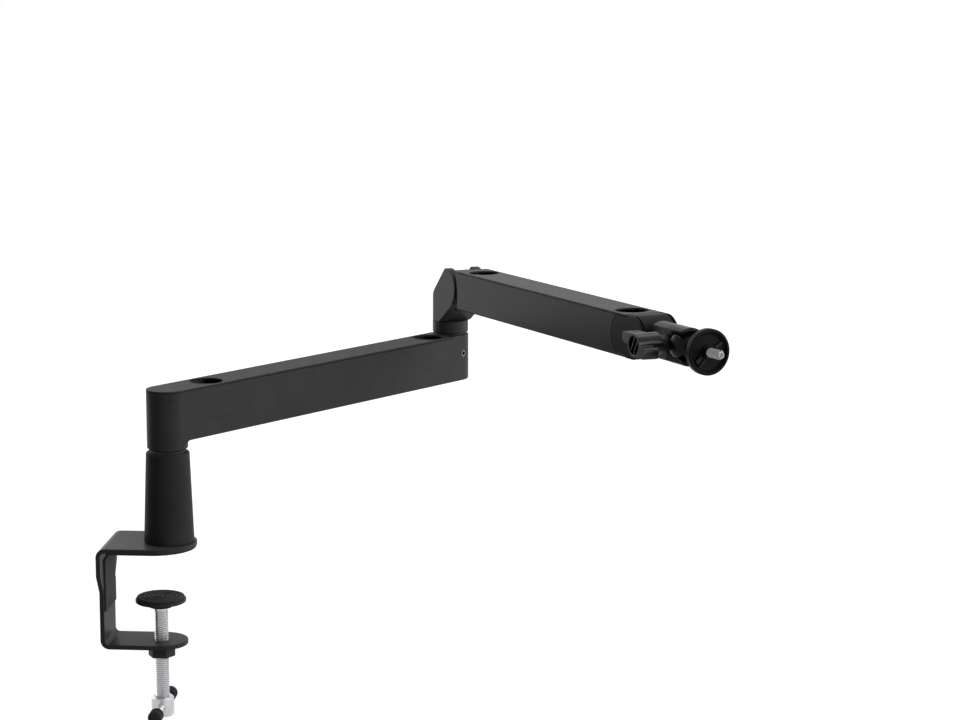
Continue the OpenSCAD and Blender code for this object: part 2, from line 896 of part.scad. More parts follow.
// Barrel with a flat near side and a threaded boss for the locking screw
module head_barrel() {
    color([0.15, 0.15, 0.152])
        at_upper()
            difference() {
                union() {
                    along(neck_r, nose_x + 1, barrel_x + 1);
                    difference() {
                        along(barrel_r, barrel_x, cup_x);
                        box([barrel_x - 1, -arm_w, -arm_w], [cup_x + 1, -flat_y, arm_w]);
                    }
                    difference() {
                        translate([knob_x, 0, 0])
                            cross(6.4, -boss_y, 0);
                        box([cup_x, -5.2, -arm_w], [cup_end, 1, arm_w]);
                    }
                }
                translate([knob_x, 0, 0])
                    cross(shoe_r + 0.08, -boss_y - 1, -2);
                ball_form(ball_r + gap);
            }
}

// Sphere with its poles on the arm's axis
module ball_form(r) {
    translate([ball_x, 0, 0])
        rotate([0, 90, 0])
            sphere(r = r);
}

// Cup around the ball with a flared mouth and an open near side
module ball_cup() {
    mouth = ball_r + 0.9;
    color([0.05, 0.05, 0.052])
        at_upper()
            difference() {
                translate([cup_x, 0, 0])
                    rotate([0, 90, 0])
                        disc(barrel_r + 0.2, 0, cup_end - cup_x, 0.4, 1.2);
                ball_form(ball_r + gap);
                translate([ball_x + 2.4, 0, 0])
                    rotate([0, 90, 0])
                        cylinder(r1 = ball_r - 0.7, r2 = mouth, h = cup_end - ball_x - 2.3);
                box([ball_x - 3.2, -arm_w, -6], [cup_end + 1, -5.6, 9]);
                box([cup_x - 1, -arm_w, -arm_w], [cup_end + 1, -flat_y, arm_w]);
                translate([knob_x, 0, 0])
                    cross(6.6, -boss_y - 4, -5);
                translate([knob_x, 0, 0])
                    cross(shoe_r + 0.08, -6, -2);
            }
}

// Small brass shoe that the knob's screw pushes against the ball
module ball_shoe() {
    color([0.72, 0.58, 0.32])
        at_upper()
            difference() {
                translate([knob_x, 0, 0])
                    cross(shoe_r, -9, -2.6);
                ball_form(ball_r + gap + 0.1);
            }
}

module knob_screw() {
    color([0.55, 0.55, 0.56])
        at_upper()
            translate([knob_x, 0, 0])
                cross(2.8, -knob_y - 8, -9.2);
}

// Two winged knob with a recessed, ribbed end
module locking_knob() {
    h = 8.2;
    color([0.09, 0.09, 0.092])
        at_upper()
            translate([knob_x, -knob_y, 0.6])
                rotate([90, 0, 0])
                    difference() {
                        union() {
                            cylinder(r = h, h = knob_len);
                            for (a = [0, 180])
                                rotate([0, 0, a])
                                    knob_wing(h);
                        }
                        difference() {
                            translate([0, 0, knob_len - 3])
                                cylinder(r = 6.4, h = 4);
                            for (a = [-1, 1])
                                rotate([0, 0, 62])
                                    translate([-8, a * 2.1 - 0.5, knob_len - 4])
                                        cube([16, 1, 3.4]);
                        }
                        translate([0, -0.6, -1])
                            cylinder(r = 2.8, h = 9);
                    }
}

// One wing, flush with the hub on one side and rounded at its outer corners
module knob_wing(h) {
    c = 2.4;
    z0 = knob_len - wing_len;
    translate([-wing_reach + c, 0.4, z0])
        cube([wing_reach - c, h - 0.4, wing_len]);
    translate([-wing_reach, 0.4 + c, z0])
        cube([c + 1, h - 0.4 - 2 * c, wing_len]);
    for (y = [0.4 + c, h - c])
        translate([-wing_reach + c, y, z0])
            cylinder(r = c, h = wing_len);
}

module ball() {
    color([0.06, 0.06, 0.062])
        at_upper()
            ball_form(ball_r);
}

// Stem from the ball to the round plate
module ball_stem() {
    color([0.12, 0.12, 0.122])
        at_upper()
            difference() {
                union() {
                    along(4.4, ball_x + 5, plate_x - gap);
                    translate([plate_x - gap - 4, 0, 0])
                        rotate([0, 90, 0])
                            cylinder(r1 = 5, r2 = 8, h = 2.4);
                    along(8, plate_x - gap - 1.6, plate_x - gap);
                }
                ball_form(ball_r + gap);
            }
}

// Round plate with a dished, rimmed front
module mic_plate() {
    color([0.09, 0.09, 0.092])
        at_upper()
            translate([plate_x, 0, 0])
                rotate([0, 90, 0])
                    difference() {
                        disc(plate_r, 0, plate_h, 1, 0.6);
                        difference() {
                            rotate_extrude()
                                polygon([[0, plate_h - 2.6], [plate_r - 4, plate_h - 2.6],
                                         [plate_r - 2.2, plate_h - 1], [plate_r - 2.2, plate_h + 1],
                                         [0, plate_h + 1]]);
                            translate([0, 0, plate_h - 3])
                                cylinder(r = 5, h = 1.8);
                        }
                        translate([0, 0, plate_h - 5])
                            cylinder(r = shank_r, h = 6);
                    }
}

// Raised bars on the plate's dished front
module plate_ribs() {
    z0 = plate_h - 2.6;
    color([0.1, 0.1, 0.102])
        at_upper()
            translate([plate_x, 0, 0])
                rotate([0, 90, 0]) {
                    rotate([0, 0, 120])
                        box([5.6, -0.9, z0], [plate_r - 4, 0.9, z0 + 1.6]);
                    rotate([0, 0, -45])
                        box([5.6, -3.2, z0], [plate_r - 4.3, -0.2, z0 + 1.6]);
                    rotate([0, 0, -45])
                        box([5.6, 0.8, z0], [plate_r - 4.3, 2, z0 + 1.6]);
                }
}

// Threaded stud for the microphone, on a thinner pressed shank
module mic_stud() {
    r = stud_d / 2;
    z0 = plate_h - 0.6;
    color([0.8, 0.8, 0.81])
        at_upper()
            translate([plate_x, 0, 0])
                rotate([0, 90, 0])
                    difference() {
                        union() {
                            disc(shank_r, plate_h - 5, z0 + 1, 0.3, 0);
                            disc(r, z0, plate_h + stud_len, 0, 0.9);
                        }
                        translate([0, 0, plate_h + stud_len - 0.8])
                            cylinder(r1 = 0.6, r2 = 1.4, h = 0.9);
                    }
}

clamp_bracket();
clamp_nut();
top_pad();
edge_pad();
riser_screws();
riser_column();
base_washer();
pivot_shaft();
pivot_nut();
pressure_plate();
pressure_pad();
clamp_screw();
handle_bar();
handle_caps();
lower_beam();
base_bush();
elbow_washer();
elbow_set_screw();
lower_magnets();
lower_cover();
lower_keepers();
elbow_collar();
elbow_fork();
elbow_shaft();
hinge_pin();
upper_beam();
hinge_tongue();
tongue_screws();
tilt_washers();
tip_block();
tip_caps();
upper_magnets();
upper_cover();
upper_keepers();
head_barrel();
ball_cup();
ball_shoe();
knob_screw();
locking_knob();
ball();
ball_stem();
mic_plate();
plate_ribs();
mic_stud();
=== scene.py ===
import json
from math import atan2, cos, hypot, pi, radians, sin

import bmesh
import bpy
from mathutils import Matrix, Vector


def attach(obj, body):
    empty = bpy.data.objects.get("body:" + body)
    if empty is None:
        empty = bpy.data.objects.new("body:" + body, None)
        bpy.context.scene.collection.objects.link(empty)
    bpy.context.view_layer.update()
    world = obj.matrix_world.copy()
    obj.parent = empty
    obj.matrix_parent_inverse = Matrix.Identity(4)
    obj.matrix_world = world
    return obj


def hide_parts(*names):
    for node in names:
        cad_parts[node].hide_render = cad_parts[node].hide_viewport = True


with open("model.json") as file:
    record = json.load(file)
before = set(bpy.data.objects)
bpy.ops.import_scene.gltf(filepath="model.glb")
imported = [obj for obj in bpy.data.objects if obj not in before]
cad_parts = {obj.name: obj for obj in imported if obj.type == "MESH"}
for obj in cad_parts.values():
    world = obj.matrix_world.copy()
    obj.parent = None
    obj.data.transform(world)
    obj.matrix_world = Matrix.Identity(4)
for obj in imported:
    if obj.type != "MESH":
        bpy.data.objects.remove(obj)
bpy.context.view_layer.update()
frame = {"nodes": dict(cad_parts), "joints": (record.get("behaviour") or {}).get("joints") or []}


# The clamp's frame is a C bent from 3.2 mm steel plate. A round ended top plate carries the
# riser, the spine hangs down the desk's edge, and a narrower tongue holds the weld nut.
# It is sprayed with satin black powder, which leaves a fine, soft grain all over.
class Wire:
    """One value in a finish's node tree. Arithmetic on it adds Math nodes."""

    def __init__(self, finish, socket):
        self.finish = finish
        self.socket = socket

    def worked(self, operation, *terms):
        return self.finish.node("Math", {"operation": operation}, dict(enumerate(terms)))

    def __add__(self, other):
        return self.worked("ADD", self, other)

    def __radd__(self, other):
        return self.worked("ADD", other, self)

    def __sub__(self, other):
        return self.worked("SUBTRACT", self, other)

    def __rsub__(self, other):
        return self.worked("SUBTRACT", other, self)

    def __mul__(self, other):
        return self.worked("MULTIPLY", self, other)

    def __rmul__(self, other):
        return self.worked("MULTIPLY", other, self)

    def kept_in_range(self):
        return self.finish.node("Clamp", {}, {"Value": self, "Min": 0.0, "Max": 1.0})


class Finish:
    """A surface finish: one material, or the world, and the nodes that vary it."""

    def __init__(self, name, world=None, **uniform):
        self.material = world or bpy.data.materials.new(name)
        self.material.use_nodes = True
        self.tree = self.material.node_tree
        self.shader = self.tree.nodes["Background" if world else "Principled BSDF"]
        for socket, value in uniform.items():
            self.shader.inputs[socket.replace("_", " ")].default_value = value
        self.place = self.node("TexCoord", {}, {}, "Object")

    def node(self, kind, settings, inputs, output=0):
        """Adds a node: its settings first, then the values or wires of its sockets."""
        made = self.tree.nodes.new("ShaderNode" + kind)
        for key, value in settings.items():
            setattr(made, key, value)
        for key, value in inputs.items():
            if isinstance(value, Wire):
                self.tree.links.new(value.socket, made.inputs[key])
            else:
                made.inputs[key].default_value = value
        return Wire(self, made.outputs[output])

    def noise(self, per_metre, detail=2.0, place=None):
        """Soft random spots, so many to the metre."""
        inputs = {"Vector": place or self.place, "Scale": per_metre, "Detail": detail}
        return self.node("TexNoise", {}, inputs)

    def drawn_out(self, along, times):
        """The place, stretched that many times along a direction in the plan."""
        inputs = {"Vector": self.place, "Rotation": (0, 0, along), "Scale": (times, 1, 1)}
        return self.node("Mapping", {"vector_type": "TEXTURE"}, inputs)

    def blend(self, amount, low, high):
        """A colour between low and high."""
        return self.node("Mix", {"data_type": "RGBA"}, {0: amount, 6: low, 7: high}, 2)

    def feed(self, socket, wire):
        """Lets a wire drive one socket of the shader."""
        self.tree.links.new(wire.socket, self.shader.inputs[socket])

    def relief(self, height, depth):
        """Lifts the surface by height times depth, in metres."""
        inputs = {"Height": height, "Distance": depth, "Strength": 1.0}
        self.feed("Normal", self.node("Bump", {}, inputs))


def shade(tone, factor=1.0, warmth=0.02):
    """A near black tone, a little warmer than neutral."""
    return (tone * factor * (1 + warmth), tone * factor, tone * factor * (1 - warmth), 1.0)


def powder_coat(name, tone, roughness, sheen=0.05, grain=1100.0, depth=0.00003, along=None):
    """Baked powder: a soft pebbled skin, with faint clouds in its colour and gloss."""
    coat = Finish(name, Specular_IOR_Level=sheen)
    clouds = coat.noise(38.0, detail=3.0)
    pebbles = coat.noise(grain)
    specks = coat.noise(grain * 3.1, detail=1.0)
    worn = clouds * 0.55 + specks * 0.45
    # The spots swing about a half, so half their weight comes off the roughness that is given.
    gloss = clouds * 0.1 + pebbles * 0.12 + (roughness - 0.11)
    if along is not None:
        rubbed = coat.noise(420.0, detail=3.0, place=coat.drawn_out(along, 28.0))
        worn = worn * 0.75 + rubbed * 0.25
        gloss = gloss + (rubbed - 0.5) * 0.16
    amount = ((worn - 0.5) * 2.4 + 0.5).kept_in_range()
    coat.feed("Base Color", coat.blend(amount, shade(tone, 0.8), shade(tone, 1.22)))
    coat.feed("Roughness", gloss)
    coat.relief(pebbles * 0.7 + specks * 0.3, depth)
    return coat.material


def of_kind(kind, geometry):
    """The vertices, edges or faces among what an operator gives back."""
    return [item for item in geometry if isinstance(item, kind)]


def grown(bm, edges, step, widen=1.0):
    """Carries a sheet on from its open edges by a step, drawing its width in or out."""
    made = bmesh.ops.extrude_edge_only(bm, edges=edges)["geom"]
    rim = of_kind(bmesh.types.BMVert, made)
    bmesh.ops.scale(bm, vec=(1, widen, 1), verts=rim)
    bmesh.ops.translate(bm, vec=step, verts=rim)
    return [e for e in of_kind(bmesh.types.BMEdge, made) if all(v in rim for v in e.verts)]


def swung(bm, edges, centre, axis, angle, steps):
    """Carries a sheet on from its open edges round a bend."""
    geometry = edges + list(dict.fromkeys(v for e in edges for v in e.verts))
    turned = bmesh.ops.spin(bm, geom=geometry, cent=centre, axis=axis, dvec=(0, 0, 0), angle=angle,
                            steps=steps, use_merge=False, use_duplicate=False)["geom_last"]
    return of_kind(bmesh.types.BMEdge, turned)


def soften(bm, width, segments=3, sharp=32, chosen=None):
    """Rounds the edges, or the chosen ones, that fold by more than sharp degrees."""
    folds = [e for e in chosen or bm.edges if e.is_manifold and e.calc_face_angle(0) > radians(sharp)]
    bmesh.ops.bevel(bm, geom=folds, offset=width, offset_type="OFFSET", segments=segments,
                    profile=0.5, affect="EDGES", clamp_overlap=True, material=-1)


in_mm = Matrix.Scale(0.001, 4)
crease = radians(40)
flat_within = radians(0.6)


def fit(name, bm, place, material, body, slot, *stands_for):
    """Makes a worked shape, in millimetres, a piece in its place on a body."""
    bmesh.ops.transform(bm, matrix=in_mm @ place, verts=bm.verts)
    bmesh.ops.recalc_face_normals(bm, faces=bm.faces)
    for face in bm.faces:
        face.smooth = True
    for edge in bm.edges:
        edge.smooth = edge.is_manifold and edge.calc_face_angle(0) < crease
    mesh = bpy.data.meshes.new(name)
    bm.to_mesh(mesh)
    bm.free()
    mesh.materials.append(material)
    piece = bpy.data.objects.new(name, mesh)
    bpy.context.scene.collection.objects.link(piece)
    even = piece.modifiers.new("even", "WEIGHTED_NORMAL")
    even.keep_sharp = True
    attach(piece, body)
    if stands_for:
        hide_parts(*stands_for)
    return piece


def dress(node, material, round_over=0.0, from_angle=32):
    """Gives a solid its finish, and rounds edges over from_angle degrees by round_over mm."""
    piece = frame["nodes"][node]
    piece.data.materials.clear()
    piece.data.materials.append(material)
    if round_over:
        # The solid's loose triangles are joined, and merged into flat faces, before the bevel.
        piece.modifiers.new("joined", "WELD").merge_threshold = 0.000002
        flats = piece.modifiers.new("flats", "DECIMATE")
        flats.decimate_type = "DISSOLVE"
        flats.angle_limit = flat_within
        edges = piece.modifiers.new("edges", "BEVEL")
        edges.width = round_over / 1000
        edges.segments = 3
        edges.limit_method = "ANGLE"
        edges.angle_limit = radians(from_angle)
        edges.use_clamp_overlap = False
        edges.loop_slide = False
        piece.modifiers.new("even", "WEIGHTED_NORMAL").weight = 70
    for face in piece.data.polygons:
        face.use_smooth = True


here = Matrix.Identity(4)
steel_t, edge_round = 3.2, 0.55
bend_r, bend_steps = 6.4, 14
plate_top, plate_half, plate_end_x = 4.4, 28.5, -9.0
spine_bend_x, taper_low, taper_high = -40.8, -30.0, -16.0
tongue_half, tongue_x, tongue_under = 19.0, -7.0, -71.2
screw_hole_r = 5.5

# The tongue is a ring round the screw's hole, squared off on the spine's side. From there the
# strip runs back, bends up as the spine, widens, and bends forward as the round ended plate.
blank = bmesh.new()
bmesh.ops.create_circle(blank, cap_ends=False, radius=screw_hole_r, segments=64)
outline = grown(blank, blank.edges[:], (0, 0, 0))
for corner in {v for e in outline for v in e.verts}:
    ray = corner.co.normalized()
    square = max(abs(ray.x), abs(ray.y)) if ray.x < 0 else 1.0
    corner.co = ray * tongue_half / square
bmesh.ops.translate(blank, vec=(tongue_x, 0, tongue_under), verts=blank.verts)
line = [e for e in outline if all(v.co.x < tongue_x - tongue_half + 0.01 for v in e.verts)]
line = grown(blank, line, (spine_bend_x - tongue_x + tongue_half, 0, 0))
line = swung(blank, line, (spine_bend_x, 0, tongue_under + bend_r), (0, 1, 0), pi / 2, bend_steps)
line = grown(blank, line, (0, 0, taper_low - tongue_under - bend_r))
line = grown(blank, line, (0, 0, taper_high - taper_low), plate_half / tongue_half)
line = grown(blank, line, (0, 0, plate_top - bend_r - taper_high))
line = swung(blank, line, (spine_bend_x, 0, plate_top - bend_r), (0, 1, 0), pi / 2, bend_steps)
line = grown(blank, line, (plate_end_x - spine_bend_x, 0, 0))
half = [e for e in line if all(v.co.y > -0.01 for v in e.verts)]
swung(blank, half, (plate_end_x, 0, plate_top), (0, 0, 1), -pi, 48)
bmesh.ops.remove_doubles(blank, verts=blank.verts, dist=0.01)
bmesh.ops.recalc_face_normals(blank, faces=blank.faces)
crown = max(blank.faces, key=lambda face: face.calc_center_median().z)
if crown.normal.z < 0:
    bmesh.ops.reverse_faces(blank, faces=blank.faces)
bmesh.ops.solidify(blank, geom=blank.faces[:], thickness=steel_t)
soften(blank, edge_round)
clamp_coat = powder_coat("clamp powder coat", 0.042, 0.44)
fit("clamp_frame", blank, here, clamp_coat, "base", "coated_steel", "clamp_bracket")


# The clamp screw runs in an M10 hexagon nut, set against the underside of the tongue. It is
# welded there with a rippled bead all round, and both are coated with the frame.
def turn(bm, outline, steps=72):
    """Turns an outline of (radius, height) pairs about +Z, as on a lathe."""
    drawn = [bm.verts.new((r, 0, z)) for r, z in outline]
    lines = [bm.edges.new(pair) for pair in zip(drawn, drawn[1:])]
    bmesh.ops.spin(bm, geom=drawn + lines, cent=(0, 0, 0), axis=(0, 0, 1), dvec=(0, 0, 0),
                   angle=2 * pi, steps=steps, use_merge=True, use_duplicate=False)
    bmesh.ops.remove_doubles(bm, verts=bm.verts, dist=0.001)


dress("clamp_nut", clamp_coat, 0.5)
bead_r, bead_at, bead_sides = 1.3, 9.3, 10
ripples, ripple_share = 44, 0.012
bead = bmesh.new()
bead_angles = [side * 2 * pi / bead_sides for side in range(bead_sides + 1)]
turn(bead, [(bead_at + bead_r * cos(a), bead_r * sin(a)) for a in bead_angles], steps=ripples * 3)
for point in bead.verts:
    swell = 1 + ripple_share * cos(ripples * atan2(point.co.y, point.co.x))
    point.co = Vector((point.co.x * swell, point.co.y * swell, point.co.z))
fit("nut_weld", bead, Matrix.Translation((tongue_x, 0, tongue_under)), clamp_coat, "base",
    "coated_steel")


# Nitrile rubber sheets, glued under the top plate and inside the spine, keep the desk unmarked.
# They are die cut, with a faint bloom and small open pits.
def rubber(name, tone):
    """Moulded rubber: a pale bloom in patches, and small pits."""
    sheet = Finish(name, Specular_IOR_Level=0.25)
    bloom = sheet.noise(140.0, detail=4.0)
    pits = sheet.noise(2600.0)
    sheet.feed("Base Color", sheet.blend(bloom, shade(tone, 0.7, 0), shade(tone, 1.4, 0)))
    sheet.feed("Roughness", bloom * 0.16 + 0.74)
    sheet.relief(pits, 0.00005)
    return sheet.material


pad_rubber = rubber("pad rubber", 0.022)
dress("top_pad", pad_rubber, 0.2)
dress("edge_pad", pad_rubber, 0.2)


# Three countersunk steel screws, zinc plated, pull the riser down on the plate.
# Their heads sit flush under the rubber.
def plated_steel(name, colour, roughness, grain=900.0, depth=0.000008):
    """Plated metal: small dull patches, and the fine marks of tumbling."""
    plating = Finish(name, Metallic=1.0)
    patches = plating.noise(grain * 0.2, detail=3.0)
    marks = plating.noise(grain, detail=4.0)
    dull = tuple(c * 0.8 for c in colour) + (1.0,)
    bright = tuple(min(c * 1.1, 1.0) for c in colour) + (1.0,)
    plating.feed("Base Color", plating.blend(patches, dull, bright))
    plating.feed("Roughness", patches * 0.14 + marks * 0.1 + (roughness - 0.12))
    plating.relief(marks, depth)
    return plating.material


zinc = plated_steel("zinc plate", (0.56, 0.56, 0.58), 0.36)
dress("riser_screws", zinc, 0.15)


# The riser is a column turned from aluminium bar. It tapers by a few millimetres to its top,
# where it is bored for the arm's steel shaft, and its foot is drilled out to save weight.
riser_foot, riser_head = plate_top, 69.4
foot_r, foot_chamfer = 17.8, 0.5
head_r, head_chamfer = 15.4, 0.8
bore_r, bore_floor = 8, 39.5
hollow_r, hollow_head = 10, 29.4
column = bmesh.new()
turn(column, [(0, bore_floor), (bore_r, bore_floor), (bore_r, riser_head),
              (head_r - head_chamfer, riser_head), (head_r, riser_head - head_chamfer),
              (foot_r, riser_foot + foot_chamfer), (foot_r - foot_chamfer, riser_foot),
              (hollow_r, riser_foot), (hollow_r, hollow_head), (0, hollow_head)], steps=120)
soften(column, 0.35, sharp=24)
riser_coat = powder_coat("riser powder coat", 0.04, 0.44, sheen=0.015, grain=950.0)
fit("riser", column, here, riser_coat, "base", "coated_body", "riser_column")


# A black acetal ring runs between the riser and the arm's foot, set back as a shadow line.
# Above it stand the pressed steel shaft and its locking nut, inside the arm.
def acetal(name, tone):
    """Turned plastic with a haze and fine lathe marks."""
    ring = Finish(name, Specular_IOR_Level=0.35)
    haze = ring.noise(220.0)
    marks = ring.noise(1900.0, detail=3.0)
    ring.feed("Base Color", ring.blend(haze, shade(tone, 0.8, 0), shade(tone, 1.3, 0)))
    ring.feed("Roughness", haze * 0.2 + 0.38)
    ring.relief(marks, 0.00001)
    return ring.material


ring_plastic = acetal("black acetal", 0.008)
ground_steel = plated_steel("ground steel", (0.6, 0.59, 0.58), 0.24)
dress("base_washer", ring_plastic)
dress("pivot_shaft", ground_steel, 0.2)
dress("pivot_nut", zinc, 0.4)


# The moving jaw is a turned steel plate with a socket for the screw's tip below. Its rubber
# face has pressed rings that grip the desk from underneath.
jaw_at = Matrix.Translation((tongue_x, 0, 0))
jaw_z, jaw_t, jaw_r, jaw_chamfer = -37.8, 2.6, 18.0, 0.6
boss_r, boss_h, boss_chamfer, fillet = 9.0, 3.6, 0.8, 0.9
tip_bore, bore_top = 3.05, jaw_z - 1.6
jaw_under = jaw_z - jaw_t
boss_z = jaw_under - boss_h
jaw = bmesh.new()
turn(jaw, [(0, bore_top), (tip_bore, bore_top), (tip_bore, boss_z), (boss_r - boss_chamfer, boss_z),
           (boss_r, boss_z + boss_chamfer), (boss_r, jaw_under - 1), (boss_r + fillet, jaw_under),
           (jaw_r - jaw_chamfer, jaw_under), (jaw_r, jaw_under + jaw_chamfer), (jaw_r, jaw_z),
           (0, jaw_z)])
soften(jaw, 0.3, segments=2)
fit("jaw_plate", jaw, jaw_at, clamp_coat, "jaw", "coated_steel", "pressure_plate")

pad_r, pad_t, pad_chamfer = jaw_r - 1, 1.8, 0.5
groove_mouth, groove_floor, groove_deep = 0.7, 0.42, 0.6
face_z = jaw_z + pad_t
pad_side = [(0, jaw_z), (pad_r, jaw_z), (pad_r, face_z - pad_chamfer), (pad_r - pad_chamfer, face_z)]
for ring_r in (13.4, 10.2, 7.0, 3.8):
    pad_side += [(ring_r + groove_mouth, face_z), (ring_r + groove_floor, face_z - groove_deep),
                 (ring_r - groove_floor, face_z - groove_deep), (ring_r - groove_mouth, face_z)]
pad = bmesh.new()
turn(pad, pad_side + [(0, face_z)])
soften(pad, 0.15, segments=2)
fit("jaw_rubber", pad, jaw_at, pad_rubber, "jaw", "black_rubber", "pressure_pad")


# The clamp screw is an M10 steel rod with a rolled thread, zinc plated. A plain tip turns in
# the jaw, and a hub at the bottom is cross drilled for the tommy bar.
def cut_thread(bm, root, crest, pitch, low, high, steps=24):
    """Rolls a V thread from low to high about +Z. Each turn closes on the one before."""
    rib = [(root, 0.0), (root, 0.16), (crest, 0.44), (crest, 0.56), (root, 0.84), (root, 1.0)]
    drawn = [bm.verts.new((r, 0, low + pitch * share)) for r, share in rib]
    lines = [bm.edges.new(pair) for pair in zip(drawn, drawn[1:])]
    turns = int((high - low) / pitch) - 1
    made = set(bm.verts)
    bmesh.ops.spin(bm, geom=drawn + lines, cent=(0, 0, 0), axis=(0, 0, 1),
                   dvec=(0, 0, pitch / steps), angle=2 * pi * turns, steps=steps * turns,
                   use_merge=False, use_duplicate=False)
    new = [v for v in bm.verts if v not in made] + drawn
    bmesh.ops.remove_doubles(bm, verts=new, dist=0.004)
    bmesh.ops.holes_fill(bm, edges=[e for e in bm.edges if e.is_boundary], sides=0)


hub_top, shoulder_z = -110.2, -44.3
rod_r, rod_root, rod_pitch = 5.0, 4.15, 1.5
neck_r, neck_len, neck_chamfer = 4.6, 2.4, 0.5
tip_r, tip_chamfer, tip_end = 3.0, 0.5, shoulder_z + 3.6
# The hub keeps its solid's shape. The rod above it is cut off and made again with its thread.
rod = bmesh.new()
rod.from_mesh(frame["nodes"]["clamp_screw"].data)
bmesh.ops.transform(rod, matrix=(in_mm @ jaw_at).inverted(), verts=rod.verts)
bmesh.ops.remove_doubles(rod, verts=rod.verts, dist=0.002)
bmesh.ops.bisect_plane(rod, geom=rod.verts[:] + rod.edges[:] + rod.faces[:], dist=0.001,
                       plane_co=(0, 0, hub_top + 0.1), plane_no=(0, 0, 1), clear_outer=True)
bmesh.ops.holes_fill(rod, edges=[e for e in rod.edges if e.is_boundary], sides=0)
bmesh.ops.dissolve_limit(rod, angle_limit=flat_within, verts=rod.verts, edges=rod.edges)
soften(rod, 0.3, segments=2)
cut_thread(rod, rod_root, rod_r, rod_pitch, hub_top - 1, shoulder_z - 0.2)
turn(rod, [(0, shoulder_z - neck_len), (neck_r, shoulder_z - neck_len),
           (neck_r, shoulder_z - neck_chamfer), (neck_r - neck_chamfer, shoulder_z),
           (tip_r, shoulder_z), (tip_r, tip_end - tip_chamfer), (tip_r - tip_chamfer, tip_end),
           (0, tip_end)], steps=48)
fit("threaded_screw", rod, jaw_at, zinc, "screw", "steel", "clamp_screw")


# The tommy bar is a loose steel pin that slides in the hub. A moulded rubber cap with two
# finger grooves is pushed on each end.
bar_z, bar_r, bar_end = -117.2, 3.0, 29
cap_r, cap_mouth, cap_end = 5.0, 22, 32.0
groove_half, groove_run, groove_cut = 0.8, 0.4, 0.6
dress("handle_bar", plated_steel("bright zinc", (0.6, 0.6, 0.61), 0.28), 0.3)
cap_side = [(0, bar_end), (bar_r, bar_end), (bar_r, cap_mouth), (cap_r - 0.6, cap_mouth),
            (cap_r, cap_mouth + 0.6)]
for groove_z in (24.6, 27.2):
    cap_side += [(cap_r, groove_z - groove_half), (cap_r - groove_cut, groove_z - groove_run),
                 (cap_r - groove_cut, groove_z + groove_run), (cap_r, groove_z + groove_half)]
cap_side += [(cap_r, cap_end - 1.8), (cap_r - 0.5, cap_end - 0.7), (cap_r - 1.6, cap_end - 0.1),
             (0, cap_end)]
caps = bmesh.new()
turn(caps, cap_side, steps=48)
soften(caps, 0.2, segments=2)
one_cap = caps.verts[:] + caps.edges[:] + caps.faces[:]
other_cap = bmesh.ops.duplicate(caps, geom=one_cap)["geom"]
bmesh.ops.rotate(caps, cent=(0, 0, 0), matrix=Matrix.Rotation(pi, 3, "X"),
                 verts=of_kind(bmesh.types.BMVert, other_cap))
across = Matrix.Translation((tongue_x, 0, bar_z)) @ Matrix.Rotation(-pi / 2, 4, "X")
fit("bar_grips", caps, across, rubber("cap rubber", 0.016), "handle", "black_rubber",
    "handle_caps")


# The lower arm is a deep aluminium channel with a round foot over the riser, a cable run
# inside, and a solid block at its far end that is bored for the elbow's shaft.
joints = {row["name"]: row for row in frame["joints"]}
elbow_at = Vector(joints["elbow_swivel"]["pos_m"])
lower_yaw = atan2(elbow_at.y, elbow_at.x)
arm_coat = powder_coat("lower arm powder coat", 0.05, 0.42, sheen=0.03, along=lower_yaw)
# Gentler folds crowd together at the round foot, so only those over 52 degrees are rounded.
dress("lower_beam", arm_coat, 0.3, from_angle=52)


# A flanged polymer sleeve lines the arm's foot, and a black ring carries the elbow's collar.
# A set screw in the side presses on the elbow shaft, and two magnets hold the cover.
def moulded(name, colour, roughness, sheen=0.4, grain=1500.0, depth=0.00002):
    """Moulded plastic: flow clouds, and the fine texture of the tool."""
    plastic = Finish(name, Specular_IOR_Level=sheen)
    flow = plastic.noise(90.0, detail=3.0)
    texture = plastic.noise(grain)
    low, high = (tuple(c * f for c in colour) + (1.0,) for f in (0.84, 1.16))
    plastic.feed("Base Color", plastic.blend(flow * 0.6 + texture * 0.4, low, high))
    plastic.feed("Roughness", texture * 0.2 + (roughness - 0.1))
    plastic.relief(texture, depth)
    return plastic.material


nickel = plated_steel("nickel plate", (0.68, 0.66, 0.62), 0.22)
oxide = plated_steel("black oxide", (0.1, 0.1, 0.105), 0.4)
dress("base_bush", moulded("bush polymer", (0.55, 0.52, 0.45), 0.5))
dress("elbow_washer", ring_plastic)
dress("elbow_set_screw", oxide, 0.15)
dress("lower_magnets", nickel, 0.15)


# The lower arm's cover lifts off for the cable. It is a 2 mm plate with a round end, a cable
# hole near each end and guide ribs below, held by steel discs over the magnets.
# The cover's coat is toned a little darker than the beam's, though both are the same black coat:
# painted shade that holds the arm's lit top down.
lower_lid_coat_painted_shade = powder_coat("lower cover powder coat", 0.044, 0.5, sheen=0.03, along=lower_yaw)
dress("lower_cover", lower_lid_coat_painted_shade, 0.12)
dress("lower_keepers", zinc, 0.1)


# The elbow's turret: a collar and a fork with two round ears, machined from aluminium and
# coated as the arms are. A ground shaft joins it to the lower arm, and a socket head pin is
# the tilt axis.
turret_coat = powder_coat("turret powder coat", 0.045, 0.4)
dress("elbow_collar", turret_coat, 0.35)
dress("elbow_fork", turret_coat, 0.5)
dress("elbow_shaft", ground_steel, 0.2)
dress("hinge_pin", oxide, 0.3)


